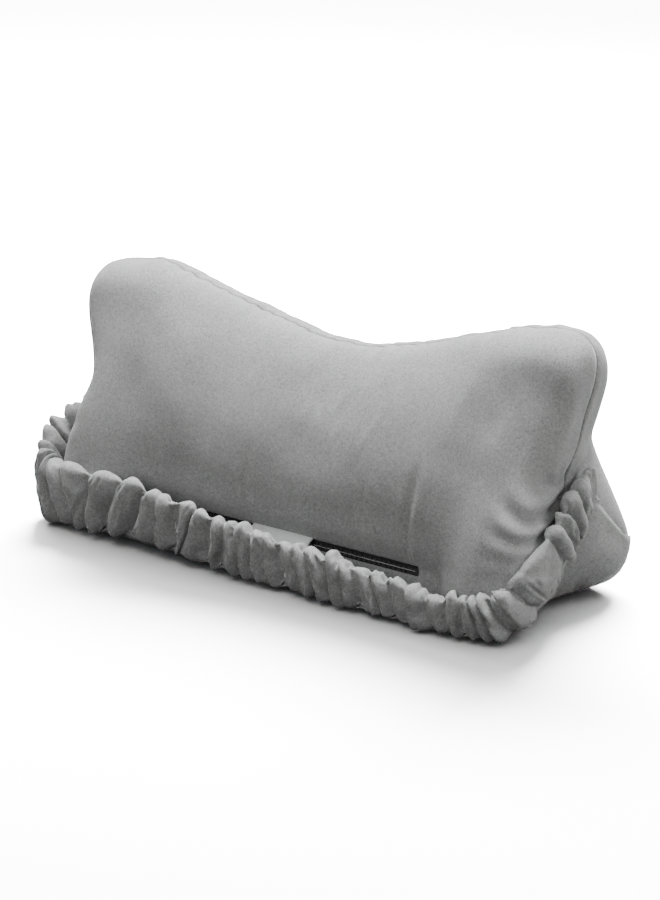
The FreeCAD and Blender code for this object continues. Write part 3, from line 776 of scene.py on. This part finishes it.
def soften(line, width):
    """Smooths evenly spaced rows with a Gaussian of that many rows, and keeps the two ends."""
    reach = int(3 * width)
    head = 2 * line[0] - line[reach:0:-1]
    tail = 2 * line[-1] - line[-2:-reach - 2:-1]
    padded = np.concatenate([head, line, tail])
    weight = np.exp(-0.5 * (np.arange(-reach, reach + 1) / width) ** 2)
    weight /= weight.sum()
    return np.stack([np.convolve(padded[:, i], weight, "valid") for i in range(line.shape[1])], axis=1)


class CasingPath:
    """The casing's middle line, with its width, its length so far and its frame at each column."""

    def __init__(self):
        line = soften(resample(CASING, CASING_COLUMNS), PATH_SOFTNESS)
        self.mid, self.width = line[:, :3], line[:, 3]
        self.at = np.concatenate([[0], np.cumsum(np.linalg.norm(np.diff(self.mid, axis=0), axis=1))])
        along = np.gradient(self.mid, axis=0)
        self.along = along / np.linalg.norm(along, axis=1, keepdims=True)
        out = np.stack([-self.along[:, 1], self.along[:, 0], np.zeros(CASING_COLUMNS)], axis=1)
        self.out = out / np.linalg.norm(out, axis=1, keepdims=True)
        self.up = np.cross(self.out, self.along)
        self.up *= np.sign(self.up[:, 2:3])


def casing_loop(width, thick, count):
    """A rounded oblong from its foot, up the outer face, over the top and down the inner face: places
    outwards and upwards, and unit normals."""
    theta = np.linspace(-math.pi / 2, 1.5 * math.pi, 400)
    c, s = np.cos(theta), np.sin(theta)
    outward = thick / 2 * (np.sign(c) * np.abs(c) ** LOOP_POWER - 1)
    upward = width / 2 * np.sign(s) * np.abs(s) ** LOOP_POWER
    loop = resample(np.stack([outward, upward], axis=1), count)
    step = np.gradient(loop, axis=0)
    normal = np.stack([step[:, 1], -step[:, 0]], axis=1)
    normal /= np.linalg.norm(normal, axis=1, keepdims=True)
    return loop, normal


def gather_lines(length):
    """The valleys' places, tilts, bends and depths, with more past each end, and how much each gather between
    two of them swells, leans over, sits off its middle and rises at its rim."""
    table = np.array([(-9, 0, 0.8), *GATHERS, (length + 6, 0, 0.8), (length + 16, 0, 0.8)], float)
    places, tilt, depth = table.T
    count = len(places)
    rng = np.random.default_rng(21)
    bend = rng.normal(0, 1.6, count)
    swell = rng.uniform(-1.0, 2.6, count)
    lean = rng.uniform(-1.5, 3.6, count)
    skew = rng.uniform(-0.35, 0.6, count)
    crest = rng.uniform(-2.2, 2.8, count)
    return places, tilt, bend, depth, swell, lean, skew, crest


def creases(at, around, marks):
    """Sharp partial creases on an unrolled sheet. Each mark is place, height, direction, half length, depth
    and width."""
    move = np.zeros_like(at)
    for s0, h0, angle, half, depth, width in marks:
        near = np.abs(at - s0) < half + 4 * width + 2
        if not near.any():
            continue
        a, b = at[near] - s0, around[near] - h0
        along = a * math.cos(angle) + b * math.sin(angle)
        across = -a * math.sin(angle) + b * math.cos(angle)
        fade = smooth(1.25 - np.abs(along) / half)
        groove = np.exp(-(np.abs(across) / width) ** 1.5)
        shoulder = np.exp(-((np.abs(across) - 2.1 * width) / (1.1 * width)) ** 2)
        move[near] -= depth * fade * (groove - 0.42 * shoulder)
    return move


def gather_moves(path, share, strength):
    """How the gathers move each point of the casing: off its surface, along its path and up its rim."""
    places, tilt, bend, depth, swell, lean, skew, crest = gather_lines(path.at[-1])
    height = 1 - np.abs(share - 0.5) * 4  # -1 at the foot, 1 at the top
    wander = Waves(31, 2, 26.0)
    move = np.zeros((CASING_COLUMNS, CASING_ROWS))
    slide = np.zeros_like(move)
    lift = np.zeros_like(move)
    for j, h in enumerate(height):
        lines = places + tilt * h * 0.5 + bend * (h * h - 0.4)
        lines = lines + 0.7 * wander(places, np.full(len(places), share[j] * 90))
        for i in range(1, len(lines)):
            lines[i] = max(lines[i], lines[i - 1] + LEAST_GAP)
        k = np.clip(np.searchsorted(lines, path.at, side="right") - 1, 0, len(lines) - 2)
        gap = lines[k + 1] - lines[k]
        tau = 2 * (path.at - lines[k]) / gap - 1  # -1 and 1 in the valleys on its two sides
        tau = tau + skew[k] * (1 - tau * tau)
        ridge = np.clip(1 - np.abs(tau) ** 2.0, 0, 1) ** 0.72
        full_depth = GATHER_DEPTH * np.minimum(1, gap / 13) ** 0.8
        valley = full_depth * (depth[k] * (1 - tau) + depth[k + 1] * (1 + tau)) / 2
        move[:, j] = strength[j] * (-valley * (1 - ridge) + swell[k] * ridge * np.minimum(1, gap / 14))
        slide[:, j] = strength[j] * lean[k] * ridge * (1 - 0.3 * np.abs(tau))
        lift[:, j] = crest[k] * ridge * smooth((h + 0.2) / 1.2) * np.minimum(1, gap / 12)
    return move, slide, lift, np.interp(path.at, places, tilt)


def crease_marks(path, tilt):
    """Where the casing's small creases lie, for creases()."""
    rng = np.random.default_rng(5)
    marks = []
    for count, heights, turn, halves, depths, widths in CREASE_KINDS:
        for _ in range(count):
            k = rng.integers(0, CASING_COLUMNS)
            follow = math.atan2(path.width[k] + CASING_THICK, tilt[k])
            marks.append((path.at[k], rng.uniform(*heights), follow + rng.normal(0, turn),
                          rng.uniform(*halves), rng.uniform(*depths), rng.uniform(*widths)))
    return marks


def make_casing(pillow_tree):
    path = CasingPath()
    length = path.at[-1]
    share = np.linspace(0, 1, CASING_ROWS)  # foot, outer face, top, inner face, foot
    strength = np.interp(share, [0, 0.05, 0.16, 0.38, 0.5, 0.62, 0.9, 1],
                         [0.9, 1, 1, 0.95, 0.75, 0.6, 0.45, 0.3])
    move, slide, lift, tilt = gather_moves(path, share, strength)
    end = np.minimum(1, np.minimum(path.at, length - path.at) / 16.0)  # 0 at the two ends
    thick = CASING_THICK * curve_through(CASING_FULLNESS, path.at)[:, 0] * (0.35 + 0.65 * np.sqrt(end))
    loops = [casing_loop(w, t, CASING_ROWS) for w, t in zip(path.width, thick)]
    base = np.array([loop for loop, _ in loops])
    normal = np.array([away for _, away in loops])
    at = np.repeat(path.at[:, None], CASING_ROWS, 1)
    around = share[None, :] * 2 * (path.width + CASING_THICK)[:, None]
    move += creases(at, around, crease_marks(path, tilt)) * (0.35 + 0.65 * strength[None, :])
    move += Waves(33, 2, 19.0)(at, around) * 0.35 + Waves(34, 2, 8.0)(at, around) * 0.10
    local = base + normal * move[..., None] * (0.3 + 0.7 * end[:, None, None])
    local[..., 1] += lift * end[:, None]
    points = (path.mid[:, None, :] + path.out[:, None, :] * local[..., :1]
              + path.up[:, None, :] * local[..., 1:] + path.along[:, None, :] * slide[..., None])
    above = points[..., 2] - CASING_CLEAR - 1
    points[..., 2] = np.where(above < 0, CASING_CLEAR + np.exp(np.minimum(above, 0)), points[..., 2])
    flat = keep_outside(points.reshape(-1, 3), pillow_tree, CASING_CLEAR, CASING_REACH)
    obj = mesh_object("gathered_casing", flat, grid_faces(CASING_COLUMNS, CASING_ROWS, flip=True))
    held = np.clip(1 - (move - np.quantile(move, 0.02)) / 3.0, 0, 1) * 0.9
    held[:, :3] = held[:, -12:] = 1
    held[:3] = held[-3:] = 1
    flat = relax_cloth(obj, held.ravel(), **CASING_CLOTH)
    set_coordinates(obj, keep_outside(flat, pillow_tree, CASING_CLEAR, CASING_REACH))
    return obj, path


def surface_tree(points, faces):
    return BVHTree.FromPolygons(np.asarray(points, float).tolist(), [list(map(int, f)) for f in faces])


def keep_outside(points, tree, gap, reach):
    """Moves points that are inside a surface, or nearer to it than gap, out to gap."""
    kept = np.array(points, float)
    for i, p in enumerate(kept):
        co, normal, _, far = tree.find_nearest(p, reach)
        if co is None:
            continue
        depth = (Vector(p) - co).dot(normal)
        if depth < gap and (depth < 0 or far < gap):
            kept[i] = co + normal * gap
    return kept


# ---------------------------------------------------------------- hood, elastic, label

def make_hood(path, pillow_tree):
    """The hood panel: from inside the casing's foot and from the sewn edge, down and in under the pillow."""
    foot = path.mid - path.up * (path.width[:, None] / 2 - 3.0) - path.out * (CASING_THICK * 0.72)
    edge = np.concatenate([resample(foot[::-1], 260), resample(SEWN_EDGE, 240)])
    edge = resample(edge, 460)
    wrapped = np.concatenate([edge[-30:], edge, edge[:30]])
    edge = soften(wrapped, 3.0)[30:-30]
    count = len(edge)
    inner = np.stack([np.clip(edge[:, 0], -140, 140), np.zeros(count)], axis=1)
    inward = inner - edge[:, :2]
    span = np.linalg.norm(inward, axis=1, keepdims=True)
    inward = inward / span
    rise = edge[:, 2:3] - HOOD_FLOOR
    turn = np.clip(1.15 * rise, 8, 0.5 * span)
    rows = []
    slack = Waves(51, 2, 46.0)
    for k in range(HOOD_STEPS):
        if k < HOOD_TURN:
            theta = k / (HOOD_TURN - 1) * math.pi / 2
            inset = turn * (1 - math.cos(theta)) ** 0.75
            z = HOOD_FLOOR + rise * (1 - math.sin(theta)) ** 1.1
            inset = inset - slack(edge[:, 0], edge[:, 1] + 3 * k)[:, None] * 0.7 * math.sin(2 * theta)
        else:
            t = (k - HOOD_TURN + 1) / (HOOD_STEPS - HOOD_TURN)
            inset = turn + (span - turn) * t
            z = np.full_like(rise, HOOD_FLOOR)
        rows.append(np.concatenate([edge[:, :2] + inward * inset, z], axis=1))
    grid = np.array(rows).transpose(1, 0, 2)
    points = keep_outside(grid.reshape(-1, 3), pillow_tree, 1.5, 30)
    points[:, 2] = np.maximum(points[:, 2], HOOD_FLOOR - 0.4)
    return mesh_object("hood_cloth", points, grid_faces(count, HOOD_STEPS, wrap_u=True, flip=True))


def make_elastic(path):
    """The elastic strip inside the casing."""
    across = np.linspace(-1, 1, 9)
    keep = slice(10, -10)  # it stops short of the casing's two ends
    half = path.width[keep, None] / 2 - 5.5
    centre = path.mid[keep] - path.out[keep] * (CASING_THICK * 0.63)
    points = centre[:, None, :] + path.up[keep][:, None, :] * (half * across)[..., None]
    rows = points.shape[0]
    return mesh_object("elastic_ribbon", points.reshape(-1, 3), grid_faces(rows, len(across)))


def make_label():
    """A blank folded label: out of the zip's upper seam, down, and back up behind itself, as y and z."""
    front = [(-42.6, 32.6), (-45.5, 32.4), (-50, 30.9), (-54.5, 27.6), (-57.6, 22.5), (-59.0, 16.5)]
    back = [(-58.4, 16.1), (-56.8, 22.0), (-53.9, 26.8), (-49.7, 30.0), (-45.4, 31.5), (-42.4, 31.7)]
    down, wide = 60, 40  # points along the fold's outline and across the label
    line = soften(resample(front + back, down), 1.2)
    x = np.linspace(LABEL_CENTRE - LABEL_HALF, LABEL_CENTRE + LABEL_HALF, wide)
    grid = np.zeros((wide, down, 3))
    grid[..., 0] = x[:, None]
    grid[..., 1:] = line[None]
    hang = np.abs(line[:, 0] + 42.5)[None, :] / 17  # 0 at the seam, 1 at the fold
    bow = ((x - LABEL_CENTRE) / LABEL_HALF)[:, None]
    grid[..., 2] += hang * (0.9 * bow - 1.3 * bow * bow + 0.4 * np.sin(5 * bow))
    grid[..., 1] += hang * 1.0 * bow * bow
    return mesh_object("blank_label", grid.reshape(-1, 3), grid_faces(wide, down, flip=True))


# ---------------------------------------------------------------- build

make_camera()
make_sky()
make_lamps(make_floor())

pillow = Pillow()
cover_panel(pillow, "chair_side_cover", "chair_side_panel", 0, slot=True)
cover_panel(pillow, "base_cover", "base_panel", 1)
cover_panel(pillow, "head_side_cover", "head_side_panel", 2)
inner_form(pillow, "inner_bag_form", 3.2, "inner_bag", LINER)
inner_form(pillow, "fibre_form", 4.6, "fibre_core", FIBRE)

pillow_tree = surface_tree(pillow.points(), pillow.faces)
casing, casing_path = make_casing(pillow_tree)
thicken(casing, CLOTH_THICK)
finish_piece(casing, SUEDE)
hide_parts("gathered_band")
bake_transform(casing)

hood = make_hood(casing_path, pillow_tree)
thicken(hood, CLOTH_THICK)
finish_piece(hood, SUEDE)
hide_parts("hood_panel")
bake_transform(hood)

elastic = make_elastic(casing_path)
thicken(elastic, 1.0, 0.0)
finish_piece(elastic, ELASTIC)
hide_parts("elastic_strip")
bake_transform(elastic)

label = make_label()
thicken(label, 0.35, 0.0)
finish_piece(label, LABEL, "pillow")
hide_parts("care_label")

for name, material in (("zip_tape_upper", TAPE), ("zip_tape_lower", TAPE), ("zip_coil_upper", COIL),
                       ("zip_coil_lower", COIL), ("zip_stops", COIL), ("zip_slider", METAL),
                       ("zip_pull", METAL)):
    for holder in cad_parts[name].material_slots:
        holder.material = material
